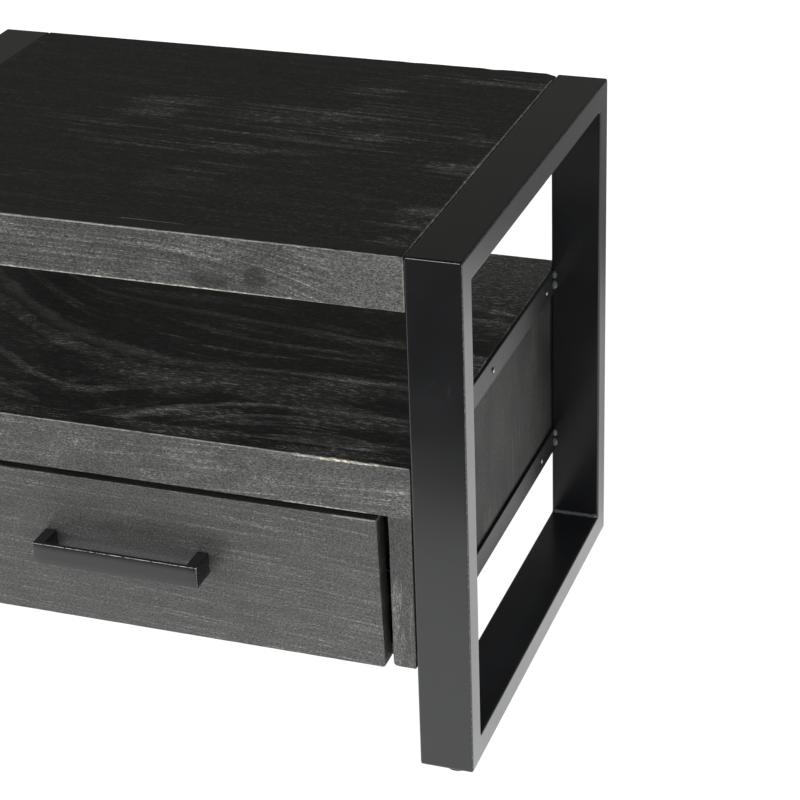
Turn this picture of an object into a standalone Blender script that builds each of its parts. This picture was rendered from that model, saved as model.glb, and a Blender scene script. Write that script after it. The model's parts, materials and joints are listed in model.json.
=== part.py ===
"""Side table with one drawer.

A thick wooden top and a drawer case under an open shelf bay hang between two end frames of
welded box-section steel. Everything is in metres, +Z is up and the front faces -Y. The origin
is on the floor, at the middle of the whole table's width and depth, handle included.
"""

import math

import bmesh
import bpy
from mathutils import Vector

# Overall size
WIDTH = 0.650
FRAME_DEPTH = 0.460
FRAME_HEIGHT = 0.500
GLIDE_THICKNESS = 0.003
GAP = 0.0003

# End frames: box section, flat rails and angle rails
TUBE_WIDTH = 0.050
TUBE_THICKNESS = 0.025
TUBE_WALL = 0.002
TUBE_CORNER = 0.0025
TUBE_INNER_CORNER = 0.0008
CORNER_STEPS = 3
RAIL_HEIGHT = 0.025
RAIL_THICKNESS = 0.003
GLIDE_RADIUS = 0.012
GLIDE_FROM_INNER_FACE = 0.032
GLIDE_FROM_END = 0.014
GLIDE_SIDES = 20

# Wooden top
TOP_EDGE_HEIGHT = 0.050
TOP_EDGE_DEPTH = 0.017
TOP_BOARD = 0.025
TOP_CLEARANCE = 0.0005
BATTEN_WIDTH = 0.050

# Drawer case
CASE_BOTTOM = 0.1033
CASE_CLEARANCE = 0.0015
CASE_SETBACK = 0.002
SHELF_TOP = 0.306
SHELF_BOARD = 0.025
SHELF_RAIL_HEIGHT = 0.050
FRONT_WOOD_DEPTH = 0.020
STILE_WIDTH = 0.0215
BOTTOM_PANEL = 0.012
BACK_PANEL = 0.010
SHELF_RAIL_TOP = 0.304
ANGLE_BOTTOM = 0.100

# Drawer
DRAWER_PROUD = 0.001
DRAWER_FRONT_WIDTH = 0.488
DRAWER_FRONT_THICKNESS = 0.019
DRAWER_FRONT_BOTTOM = 0.102
DRAWER_FRONT_TOP = 0.252
DRAWER_SIDE = 0.012
DRAWER_SIDE_BOTTOM = 0.122
DRAWER_SIDE_TOP = 0.235
DRAWER_BOX_DEPTH = 0.390
DRAWER_BOTTOM_Z = 0.128
DRAWER_BOTTOM = 0.006
GROOVE_DEPTH = 0.005

# Ball-bearing slides, one on each side of the drawer
SLIDE_SPACE = 0.013
SLIDE_LENGTH = 0.390
SLIDE_HEIGHT = 0.045
SLIDE_PLATE = 0.0012
SLIDE_RACE = 0.0030
SLIDE_Z = 0.178
SLIDE_OUTER_DEPTH = 0.0078
SLIDE_MIDDLE_DEPTH = 0.0065
SLIDE_MIDDLE_INSET = 0.0037
SLIDE_INNER_DEPTH = 0.0062

# Handle: a flat bar on two legs
HANDLE_LENGTH = 0.162
HANDLE_HEIGHT = 0.021
HANDLE_REACH = 0.028
HANDLE_BAR = 0.004
HANDLE_LEG = 0.011
HANDLE_Z = 0.183
HANDLE_FILLET = 0.002

# Screws: a domed head on a plain shank
SHANK_RADIUS = 0.0020
HEAD_RADIUS = 0.0028
HEAD_HEIGHT = 0.0018
HEAD_RIM = 0.6
HEAD_CROWN_RADIUS = 0.6
HEAD_CROWN_HEIGHT = 0.92
CUTTER_OVERSHOOT = 0.010
SCREW_SIDES = 12
WOOD_SCREW_LENGTH = 0.022
HANDLE_SCREW_LENGTH = 0.028
SHELF_SCREWS_FROM_FRONT = (0.050, 0.230, 0.410)
ANGLE_SCREWS_FROM_FRONT = (0.072, 0.388)
TOP_SCREWS_FROM_FRONT = (0.090, 0.370)

# Eased edges
WOOD_EASE = 0.0012
STEEL_EASE = 0.0004
HANDLE_EASE = 0.0007

# Angles that tell a sharp edge from a curved surface
BEVEL_ANGLE = math.radians(40)
SMOOTH_ANGLE = math.radians(35)

# Planes worked out from the sizes above
HALF_INNER = WIDTH / 2 - TUBE_WIDTH
FRONT = (DRAWER_PROUD + HANDLE_REACH - FRAME_DEPTH) / 2
BACK = FRONT + FRAME_DEPTH
TOP = GLIDE_THICKNESS + FRAME_HEIGHT
CASE_HALF = HALF_INNER - CASE_CLEARANCE
CASE_FRONT = FRONT + CASE_SETBACK
CASE_BACK = BACK - CASE_SETBACK
BEHIND_CASE_FRONT = CASE_FRONT + FRONT_WOOD_DEPTH + GAP
PANEL_INNER = CASE_HALF - STILE_WIDTH
SHELF_UNDERSIDE = SHELF_TOP - SHELF_BOARD
RAIL_INNER = CASE_HALF + GAP
RAIL_OUTER = RAIL_INNER + RAIL_THICKNESS
TOP_HALF = HALF_INNER - TOP_CLEARANCE
TOP_RAIL_INNER = TOP_HALF + GAP
TOP_RAIL_OUTER = TOP_RAIL_INNER + RAIL_THICKNESS
TOP_UNDERSIDE = TOP - TOP_EDGE_HEIGHT
TOP_RAIL_TOP = TOP - TUBE_THICKNESS - 2 * GAP
DRAWER_FACE = FRONT - DRAWER_PROUD
DRAWER_FRONT_REAR = DRAWER_FACE + DRAWER_FRONT_THICKNESS
BOX_HALF = PANEL_INNER - SLIDE_SPACE
BOX_FRONT = DRAWER_FRONT_REAR + GAP
BOX_BACK = BOX_FRONT + DRAWER_BOX_DEPTH

SIDES = (("left", -1), ("right", 1))


def clear_scene():
    for thing in list(bpy.data.objects):
        bpy.data.objects.remove(thing, do_unlink=True)


def make_material(name, colour, roughness, metallic):
    material = bpy.data.materials.new(name)
    material.use_nodes = True
    shader = material.node_tree.nodes["Principled BSDF"]
    shader.inputs["Base Color"].default_value = (*colour, 1.0)
    shader.inputs["Roughness"].default_value = roughness
    shader.inputs["Metallic"].default_value = metallic
    return material


def make_object(name, mesh_data, material, parent=None, smooth_angle=None):
    """Turn a bmesh into a named object with outward faces, keeping its place in the world."""
    bmesh.ops.recalc_face_normals(mesh_data, faces=mesh_data.faces)
    mesh = bpy.data.meshes.new(name)
    mesh_data.to_mesh(mesh)
    mesh_data.free()
    if smooth_angle:
        mesh.shade_smooth()
        mesh.set_sharp_from_angle(angle=smooth_angle)
    mesh.materials.append(material)
    thing = bpy.data.objects.new(name, mesh)
    bpy.context.collection.objects.link(thing)
    if parent:
        thing.parent = parent
        thing.location = -parent.location
    return thing


def ease_edges(thing, width):
    """A narrow bevel on every sharp edge."""
    bevel = thing.modifiers.new("eased_edges", "BEVEL")
    bevel.width = width
    bevel.segments = 1
    bevel.limit_method = "ANGLE"
    bevel.angle_limit = BEVEL_ANGLE


def make_box(name, low, high, material, parent=None, ease=WOOD_EASE):
    """A board or bar between two opposite corners."""
    mesh_data = bmesh.new()
    bmesh.ops.create_cube(mesh_data, size=1.0)
    low = Vector(low)
    high = Vector(high)
    for vertex in mesh_data.verts:
        vertex.co = (low + high) / 2 + vertex.co * (high - low)
    thing = make_object(name, mesh_data, material, parent)
    ease_edges(thing, ease)
    return thing


def make_prism(name, outline, place, material, parent=None, ease=STEEL_EASE):
    """A closed outline swept between the two ends that place(u, v, end) gives."""
    mesh_data = bmesh.new()
    ends = [[mesh_data.verts.new(place(u, v, end)) for u, v in outline] for end in (0, 1)]
    count = len(outline)
    mesh_data.faces.new(ends[0])
    mesh_data.faces.new(ends[1])
    for index in range(count):
        after = (index + 1) % count
        mesh_data.faces.new((ends[0][index], ends[0][after], ends[1][after], ends[1][index]))
    thing = make_object(name, mesh_data, material, parent)
    if ease:
        ease_edges(thing, ease)
    return thing


def make_turned(name, profile, centre, axis, sides, material, parent=None):
    """A solid of revolution. The profile is (radius, distance along the axis), pole to pole."""
    mesh_data = bmesh.new()
    axis = Vector(axis).normalized()
    first = axis.orthogonal().normalized()
    second = axis.cross(first)
    rings = []
    for radius, distance in profile:
        middle = Vector(centre) + axis * distance
        if radius == 0:
            rings.append([mesh_data.verts.new(middle)])
            continue
        ring = []
        for step in range(sides):
            turn = 2 * math.pi * step / sides
            spoke = first * math.cos(turn) + second * math.sin(turn)
            ring.append(mesh_data.verts.new(middle + spoke * radius))
        rings.append(ring)
    for lower, upper in zip(rings, rings[1:]):
        for step in range(sides):
            after = (step + 1) % sides
            corners = [lower[step % len(lower)], lower[after % len(lower)]]
            corners += [upper[after % len(upper)], upper[step % len(upper)]]
            mesh_data.faces.new(list(dict.fromkeys(corners)))
    return make_object(name, mesh_data, material, parent, SMOOTH_ANGLE)


def cut_away(thing, cutter):
    cut = thing.modifiers.new("cut", "BOOLEAN")
    cut.operation = "DIFFERENCE"
    cut.solver = "EXACT"
    cut.object = cutter


def as_cutter(thing):
    thing.hide_render = True
    thing.display_type = "WIRE"
    return thing


def rounded_rectangle(width, height, radius, inset):
    """Points round a rectangle that starts at (0, 0), with the same count for any inset."""
    points = []
    corners = ((0, 0, 180), (width, 0, 270), (width, height, 0), (0, height, 90))
    reach = inset + radius
    for x, y, start in corners:
        middle_x = min(max(x, reach), width - reach)
        middle_y = min(max(y, reach), height - reach)
        for step in range(CORNER_STEPS + 1):
            turn = math.radians(start + 90 * step / CORNER_STEPS)
            points.append((middle_x + radius * math.cos(turn), middle_y + radius * math.sin(turn)))
    return points


def make_mitred_tube(name, corner, along, inward, length, inner_face, material):
    """A box-section tube whose outer face starts at a frame corner, mitred at both ends."""
    outer = rounded_rectangle(TUBE_WIDTH, TUBE_THICKNESS, TUBE_CORNER, 0)
    inner = rounded_rectangle(TUBE_WIDTH, TUBE_THICKNESS, TUBE_INNER_CORNER, TUBE_WALL)
    across = Vector((math.copysign(1, inner_face), 0, 0))
    origin = Vector((inner_face, corner[0], corner[1]))
    along = Vector(along)
    inward = Vector(inward)
    mesh_data = bmesh.new()
    rings = {}
    for kind, outline in (("outer", outer), ("inner", inner)):
        for end in (0, 1):
            ring = []
            for u, v in outline:
                mitre = v + GAP / 2
                distance = length - mitre if end else mitre
                place = origin + across * u + inward * v + along * distance
                ring.append(mesh_data.verts.new(place))
            rings[kind, end] = ring
    count = len(outer)
    for index in range(count):
        after = (index + 1) % count
        for first, second in (
            (("outer", 0), ("outer", 1)),
            (("inner", 0), ("inner", 1)),
            (("outer", 0), ("inner", 0)),
            (("outer", 1), ("inner", 1)),
        ):
            one = rings[first]
            two = rings[second]
            mesh_data.faces.new((one[index], one[after], two[after], two[index]))
    return make_object(name, mesh_data, material, smooth_angle=SMOOTH_ANGLE)


def make_screw(name, head_face, axis, length, material, parent=None):
    """A screw whose head stands on head_face and whose shank runs along the axis."""
    head_edge = HEAD_RIM * HEAD_HEIGHT
    point = 2 * SHANK_RADIUS
    profile = (
        (0, -HEAD_HEIGHT),
        (HEAD_CROWN_RADIUS * HEAD_RADIUS, -HEAD_CROWN_HEIGHT * HEAD_HEIGHT),
        (HEAD_RADIUS, GAP - head_edge),
        (HEAD_RADIUS, -GAP),
        (SHANK_RADIUS, -GAP),
        (SHANK_RADIUS, length - point),
        (0, length),
    )
    return make_turned(name, profile, head_face, axis, SCREW_SIDES, material, parent)


def make_hole_cutter(name, start, axis, length, material):
    """A plain round cutter that leaves the gap all round a shank."""
    radius = SHANK_RADIUS + GAP
    back = -CUTTER_OVERSHOOT
    profile = ((0, back), (radius, back), (radius, length), (0, length))
    return as_cutter(make_turned(name, profile, start, axis, SCREW_SIDES, material))


def build_end_frame(side, sign, steel, plastic):
    """The welded loop of four tubes, its three rails and its two floor glides."""
    face = sign * HALF_INNER
    bottom = GLIDE_THICKNESS
    up = (0, 0, 1)
    down = (0, 0, -1)
    backward = (0, 1, 0)
    forward = (0, -1, 0)
    bars = (
        ("front_post", (FRONT, bottom), up, backward, FRAME_HEIGHT),
        ("back_post", (BACK, bottom), up, forward, FRAME_HEIGHT),
        ("top_bar", (FRONT, TOP), backward, down, FRAME_DEPTH),
        ("bottom_bar", (FRONT, bottom), backward, up, FRAME_DEPTH),
    )
    for name, corner, along, inward, length in bars:
        make_mitred_tube(f"{name}_{side}", corner, along, inward, length, face, steel)

    rail_front = FRONT + TUBE_THICKNESS + GAP
    rail_back = BACK - TUBE_THICKNESS - GAP
    flat_rails = (
        ("top_rail", TOP_RAIL_INNER, TOP_RAIL_OUTER, TOP_RAIL_TOP),
        ("shelf_rail", RAIL_INNER, RAIL_OUTER, SHELF_RAIL_TOP),
    )
    for name, inner, outer, rail_top in flat_rails:
        ends = sorted((sign * inner, sign * outer))
        low = (ends[0], rail_front, rail_top - RAIL_HEIGHT)
        high = (ends[1], rail_back, rail_top)
        make_box(f"{name}_{side}", low, high, steel, ease=STEEL_EASE)

    angle = (
        (RAIL_OUTER, ANGLE_BOTTOM),
        (RAIL_OUTER, ANGLE_BOTTOM + RAIL_HEIGHT),
        (RAIL_INNER, ANGLE_BOTTOM + RAIL_HEIGHT),
        (RAIL_INNER, ANGLE_BOTTOM + RAIL_THICKNESS),
        (RAIL_OUTER - RAIL_HEIGHT, ANGLE_BOTTOM + RAIL_THICKNESS),
        (RAIL_OUTER - RAIL_HEIGHT, ANGLE_BOTTOM),
    )

    def place_angle(x, z, end):
        return (sign * x, rail_back if end else rail_front, z)

    make_prism(f"angle_rail_{side}", angle, place_angle, steel)

    glide_x = sign * (HALF_INNER + GLIDE_FROM_INNER_FACE)
    profile = (
        (0, 0),
        (GLIDE_RADIUS - 2 * GAP, 0),
        (GLIDE_RADIUS, 2 * GAP),
        (GLIDE_RADIUS, GLIDE_THICKNESS - GAP),
        (0, GLIDE_THICKNESS - GAP),
    )
    for end, glide_y in (("front", FRONT + GLIDE_FROM_END), ("back", BACK - GLIDE_FROM_END)):
        centre = (glide_x, glide_y, 0)
        make_turned(f"glide_{end}_{side}", profile, centre, up, GLIDE_SIDES, plastic)


def build_top(wood):
    """A board between a front and a back edge piece, on an end batten at each side."""
    front_inner = FRONT + TOP_EDGE_DEPTH
    back_inner = BACK - TOP_EDGE_DEPTH
    board_bottom = TOP - TOP_BOARD
    make_box("top_front_edge", (-TOP_HALF, FRONT, TOP_UNDERSIDE), (TOP_HALF, front_inner, TOP), wood)
    make_box("top_back_edge", (-TOP_HALF, back_inner, TOP_UNDERSIDE), (TOP_HALF, BACK, TOP), wood)
    low = (-TOP_HALF, front_inner + GAP, board_bottom)
    high = (TOP_HALF, back_inner - GAP, TOP)
    make_box("top_board", low, high, wood, ease=GAP)
    for side, sign in SIDES:
        ends = sorted((sign * TOP_HALF, sign * (TOP_HALF - BATTEN_WIDTH)))
        low = (ends[0], front_inner + GAP, TOP_UNDERSIDE)
        high = (ends[1], back_inner - GAP, board_bottom - GAP)
        make_box(f"top_batten_{side}", low, high, wood)


def build_case(wood):
    """The drawer case: shelf board and front rail above, panels, stiles and a bottom below."""
    rail_bottom = SHELF_TOP - SHELF_RAIL_HEIGHT
    front_rear = CASE_FRONT + FRONT_WOOD_DEPTH
    low = (-CASE_HALF, CASE_FRONT, rail_bottom)
    make_box("shelf_front_rail", low, (CASE_HALF, front_rear, SHELF_TOP), wood)
    low = (-CASE_HALF, BEHIND_CASE_FRONT, SHELF_UNDERSIDE)
    make_box("shelf_board", low, (CASE_HALF, CASE_BACK, SHELF_TOP), wood)
    for side, sign in SIDES:
        ends = sorted((sign * PANEL_INNER, sign * CASE_HALF))
        low = (ends[0], CASE_FRONT, CASE_BOTTOM)
        make_box(f"stile_{side}", low, (ends[1], front_rear, rail_bottom - GAP), wood)
        low = (ends[0], BEHIND_CASE_FRONT, CASE_BOTTOM)
        make_box(f"side_panel_{side}", low, (ends[1], CASE_BACK, SHELF_UNDERSIDE - GAP), wood)
    half = PANEL_INNER - GAP
    bottom_top = CASE_BOTTOM + BOTTOM_PANEL
    low = (-half, DRAWER_FRONT_REAR + 3 * GAP, CASE_BOTTOM)
    make_box("bottom_panel", low, (half, CASE_BACK, bottom_top), wood)
    low = (-half, CASE_BACK - BACK_PANEL, bottom_top + GAP)
    make_box("back_panel", low, (half, CASE_BACK, SHELF_UNDERSIDE - GAP), wood)


def build_drawer_box(wood, plain_wood, drawer):
    """Front, two sides, a back and a bottom panel let into grooves."""
    half = DRAWER_FRONT_WIDTH / 2
    low = (-half, DRAWER_FACE, DRAWER_FRONT_BOTTOM)
    high = (half, DRAWER_FRONT_REAR, DRAWER_FRONT_TOP)
    front = make_box("drawer_front", low, high, wood, drawer)

    inner = BOX_HALF - DRAWER_SIDE
    panel_half = inner + GROOVE_DEPTH - GAP
    panel_front = BOX_FRONT - GROOVE_DEPTH
    panel_top = DRAWER_BOTTOM_Z + DRAWER_BOTTOM
    low = (-panel_half - GAP, panel_front - GAP, DRAWER_BOTTOM_Z - GAP)
    high = (panel_half + GAP, BOX_BACK + CUTTER_OVERSHOOT, panel_top + GAP)
    groove = as_cutter(make_box("groove_cutter", low, high, plain_wood, ease=GAP / 10))
    for side, sign in SIDES:
        ends = sorted((sign * inner, sign * BOX_HALF))
        low = (ends[0], BOX_FRONT, DRAWER_SIDE_BOTTOM)
        high = (ends[1], BOX_BACK, DRAWER_SIDE_TOP)
        cut_away(make_box(f"drawer_side_{side}", low, high, plain_wood, drawer), groove)
    cut_away(front, groove)
    low = (-inner + GAP, BOX_BACK - DRAWER_SIDE, panel_top + GAP)
    high = (inner - GAP, BOX_BACK, DRAWER_SIDE_TOP)
    make_box("drawer_back", low, high, plain_wood, drawer)
    low = (-panel_half, panel_front, DRAWER_BOTTOM_Z)
    high = (panel_half, BOX_BACK, panel_top)
    make_box("drawer_bottom", low, high, plain_wood, drawer, ease=GAP)
    return front


def channel(depth, half_height, open_up):
    """Outline of a slide member: a plate with two flanges, in (depth, height)."""
    plate = SLIDE_PLATE
    points = (
        (0, -half_height),
        (depth, -half_height),
        (depth, plate - half_height),
        (plate, plate - half_height),
        (plate, half_height - plate),
        (depth, half_height - plate),
        (depth, half_height),
        (0, half_height),
    )
    return [(x if open_up else -x, z) for x, z in points]


def build_slides(zinc, drawer, carriers):
    """Telescopic slides in three members: the case's, a middle one and the drawer's."""
    outer_half = SLIDE_HEIGHT / 2
    middle_half = outer_half - SLIDE_PLATE - SLIDE_RACE
    inner_half = middle_half - SLIDE_PLATE - SLIDE_RACE
    outer_start = CASE_FRONT + FRONT_WOOD_DEPTH
    outer_x = PANEL_INNER - GAP
    middle_x = PANEL_INNER - SLIDE_MIDDLE_INSET
    inner_x = BOX_HALF + GAP
    inner_start = BOX_FRONT + GAP
    members = (
        ("slide_outer", outer_x, SLIDE_OUTER_DEPTH, outer_half, False, outer_start, None),
        ("slide_middle", middle_x, SLIDE_MIDDLE_DEPTH, middle_half, False, outer_start, "middle"),
        ("slide_inner", inner_x, SLIDE_INNER_DEPTH, inner_half, True, inner_start, "drawer"),
    )
    for side, sign in SIDES:
        for name, plate_x, depth, half_height, open_up, start, carrier in members:
            outline = channel(depth, half_height, open_up)
            finish = BOX_FRONT + SLIDE_LENGTH

            def place(x, z, end):
                return (sign * (plate_x + x), finish if end else start, SLIDE_Z + z)

            parent = {None: None, "middle": carriers[side], "drawer": drawer}[carrier]
            make_prism(f"{name}_{side}", outline, place, zinc, parent, ease=None)


def build_handle(steel, screw_steel, drawer, front):
    """A flat bar on two thick legs, held by a screw into each leg from inside the drawer."""
    half = HANDLE_LENGTH / 2
    rear = DRAWER_FACE - GAP
    bar_front = DRAWER_FACE - HANDLE_REACH
    bar_rear = bar_front + HANDLE_BAR
    gap_half = half - HANDLE_LEG
    outline = [(half, rear), (gap_half, rear)]
    fillet = HANDLE_FILLET
    for sign in (1, -1):
        corner = []
        for step in range(CORNER_STEPS + 1):
            turn = math.radians(90 * step / CORNER_STEPS)
            x = gap_half - fillet + fillet * math.cos(turn)
            y = bar_rear + fillet - fillet * math.sin(turn)
            corner.append((sign * x, y))
        outline += corner if sign > 0 else corner[::-1]
    outline += [(-gap_half, rear), (-half, rear), (-half, bar_front), (half, bar_front)]

    def place(x, y, end):
        return (x, y, HANDLE_Z + (end - 0.5) * HANDLE_HEIGHT)

    handle = make_prism("drawer_handle", outline, place, steel, drawer, HANDLE_EASE)
    for side, sign in SIDES:
        start = (sign * (half - HANDLE_LEG / 2), DRAWER_FRONT_REAR, HANDLE_Z)
        make_screw(f"handle_screw_{side}", start, (0, -1, 0), HANDLE_SCREW_LENGTH, screw_steel, drawer)
        cutter_length = HANDLE_SCREW_LENGTH + GAP
        name = f"handle_hole_{side}"
        cutter = make_hole_cutter(name, start, (0, -1, 0), cutter_length, screw_steel)
        cut_away(front, cutter)
        cut_away(handle, cutter)


def build_rail_screws(screw_steel):
    """Wood screws through the end frames' rails, each in its own clearance hole."""
    half = RAIL_HEIGHT / 2
    rows = (
        ("shelf", SHELF_SCREWS_FROM_FRONT, RAIL_OUTER, SHELF_RAIL_TOP - half),
        ("angle", ANGLE_SCREWS_FROM_FRONT, RAIL_OUTER, ANGLE_BOTTOM + half),
        ("top", TOP_SCREWS_FROM_FRONT, TOP_RAIL_OUTER, TOP_RAIL_TOP - half),
    )
    woods = {"shelf": "shelf_board", "angle": "side_panel_{}", "top": "top_batten_{}"}
    for side, sign in SIDES:
        for row, places, rail_face, height in rows:
            rail = bpy.data.objects[f"{row}_rail_{side}"]
            board = bpy.data.objects[woods[row].format(side)]
            for number, distance in enumerate(places, 1):
                start = (sign * rail_face, FRONT + distance, height)
                axis = (-sign, 0, 0)
                name = f"{row}_screw_{number}_{side}"
                make_screw(name, start, axis, WOOD_SCREW_LENGTH - GAP, screw_steel)
                cutter_name = f"{row}_hole_{number}_{side}"
                cutter = make_hole_cutter(cutter_name, start, axis, WOOD_SCREW_LENGTH, screw_steel)
                cut_away(rail, cutter)
                cut_away(board, cutter)


def make_carrier(name):
    """An empty that carries a moving group; the slides' joints run along its Y axis."""
    carrier = bpy.data.objects.new(name, None)
    carrier.location = (0, DRAWER_FACE, SLIDE_Z)
    bpy.context.collection.objects.link(carrier)
    return carrier


def main():
    clear_scene()
    wood = make_material("black_stained_wood", (0.030, 0.030, 0.031), 0.55, 0.0)
    plain_wood = make_material("drawer_box_wood", (0.045, 0.042, 0.040), 0.65, 0.0)
    steel = make_material("powder_coated_steel", (0.020, 0.021, 0.023), 0.38, 0.4)
    handle_steel = make_material("handle_steel", (0.016, 0.016, 0.017), 0.45, 0.6)
    zinc = make_material("black_zinc_plated_steel", (0.060, 0.060, 0.065), 0.35, 1.0)
    screw_steel = make_material("screw_steel", (0.10, 0.10, 0.11), 0.35, 1.0)
    plastic = make_material("glide_plastic", (0.025, 0.025, 0.025), 0.60, 0.0)

    drawer = make_carrier("drawer_carrier")
    carriers = {side: make_carrier(f"slide_carrier_{side}") for side, _ in SIDES}
    for side, sign in SIDES:
        build_end_frame(side, sign, steel, plastic)
    build_top(wood)
    build_case(wood)
    front = build_drawer_box(wood, plain_wood, drawer)
    build_slides(zinc, drawer, carriers)
    build_handle(handle_steel, screw_steel, drawer, front)
    build_rail_screws(screw_steel)


main()
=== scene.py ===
import json
import math
import random

import bmesh
import bpy
import numpy as np
from mathutils import Matrix, Vector, noise

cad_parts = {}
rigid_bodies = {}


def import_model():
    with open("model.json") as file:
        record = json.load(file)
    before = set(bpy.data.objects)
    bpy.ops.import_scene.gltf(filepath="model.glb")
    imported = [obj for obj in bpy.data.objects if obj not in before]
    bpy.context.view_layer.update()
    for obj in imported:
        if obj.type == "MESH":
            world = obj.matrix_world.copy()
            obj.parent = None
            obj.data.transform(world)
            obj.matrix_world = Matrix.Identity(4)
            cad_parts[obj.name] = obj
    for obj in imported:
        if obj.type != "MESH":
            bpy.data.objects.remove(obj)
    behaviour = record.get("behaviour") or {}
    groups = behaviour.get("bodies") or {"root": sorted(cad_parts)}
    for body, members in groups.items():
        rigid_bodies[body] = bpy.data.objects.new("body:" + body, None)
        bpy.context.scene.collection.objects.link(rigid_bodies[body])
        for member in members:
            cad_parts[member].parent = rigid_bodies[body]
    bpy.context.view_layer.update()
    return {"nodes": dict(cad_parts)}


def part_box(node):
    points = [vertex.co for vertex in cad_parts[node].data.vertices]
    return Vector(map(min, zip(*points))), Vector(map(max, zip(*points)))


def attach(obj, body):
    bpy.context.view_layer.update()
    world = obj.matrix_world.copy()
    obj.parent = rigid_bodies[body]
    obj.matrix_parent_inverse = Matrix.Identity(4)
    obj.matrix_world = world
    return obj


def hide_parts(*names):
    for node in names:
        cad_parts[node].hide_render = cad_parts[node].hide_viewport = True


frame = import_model()

SIDES = (("left", -1), ("right", 1))
PITH = random.Random(616)
BOARD_SHIFT = 7.3        # metres of grain between boards, so that no two look alike
SHARP_RADIUS = 0.00006   # of a board's edge that is left sharp


# ------ shaders

class Shader:
    """A material's or a world's node tree, built by small calls that return output sockets."""

    def __init__(self, owner, kind="Material"):
        owner.use_nodes = True
        self.owner = owner
        self.tree = owner.node_tree
        self.tree.nodes.clear()
        self.out = self.node("Output" + kind)

    def feed(self, socket, value):
        if isinstance(value, bpy.types.NodeSocket):
            self.tree.links.new(value, socket)
        else:
            socket.default_value = value

    def node(self, kind, values=None, **settings):
        made = self.tree.nodes.new("ShaderNode" + kind)
        for key, value in settings.items():
            setattr(made, key, value)
        for key, value in (values or {}).items():
            self.feed(made.inputs[key], value)
        return made

    def math(self, operation, *values):
        return self.node("Math", dict(enumerate(values)), operation=operation).outputs[0]

    def mul(self, a, b):
        return self.math("MULTIPLY", a, b)

    def madd(self, a, b, c):
        """a times b, plus c."""
        return self.math("MULTIPLY_ADD", a, b, c)

    def vector(self, operation, *values):
        return self.node("VectorMath", dict(enumerate(values)), operation=operation).outputs[0]

    def xyz(self, place):
        return self.node("SeparateXYZ", {0: place}).outputs

    def object_place(self):
        return self.node("TexCoord").outputs["Object"]

    def attribute(self, name, output="Fac"):
        return self.node("Attribute", attribute_name=name).outputs[output]

    def noise(self, place, stretch, detail=2.0, rough=0.5, output="Fac"):
        if isinstance(stretch, (int, float)):
            stretch = (stretch,) * 3
        place = self.vector("MULTIPLY", place, stretch)
        values = {"Vector": place, "Scale": 1.0, "Detail": detail, "Roughness": rough}
        return self.node("TexNoise", values).outputs[output]

    def smooth(self, value, low, high, to_low=0.0, to_high=1.0):
        values = {0: value, 1: low, 2: high, 3: to_low, 4: to_high}
        return self.node("MapRange", values, interpolation_type="SMOOTHSTEP").outputs[0]

    def mix(self, factor, a, b):
        return self.node("Mix", {0: factor, 6: a, 7: b}, data_type="RGBA").outputs[2]

    def grey(self, value, tint=(1, 1, 1)):
        made = self.node("CombineColor")
        for index, share in enumerate(tint):
            self.feed(made.inputs[index], self.mul(value, share))
        return made.outputs[0]

    def surface(self, colour, rough, bump, metallic=0.0, specular=0.5):
        """Ends a material; bump is the height's socket, the depth in metres and the strength."""
        bump = self.node("Bump", dict(zip(("Height", "Distance", "Strength"), bump))).outputs[0]
        values = {"Base Color": colour, "Roughness": rough, "Metallic": metallic,
                  "Specular IOR Level": specular, "Normal": bump}
        self.feed(self.out.inputs[0], self.node("BsdfPrincipled", values).outputs[0])
        return self.owner


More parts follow.
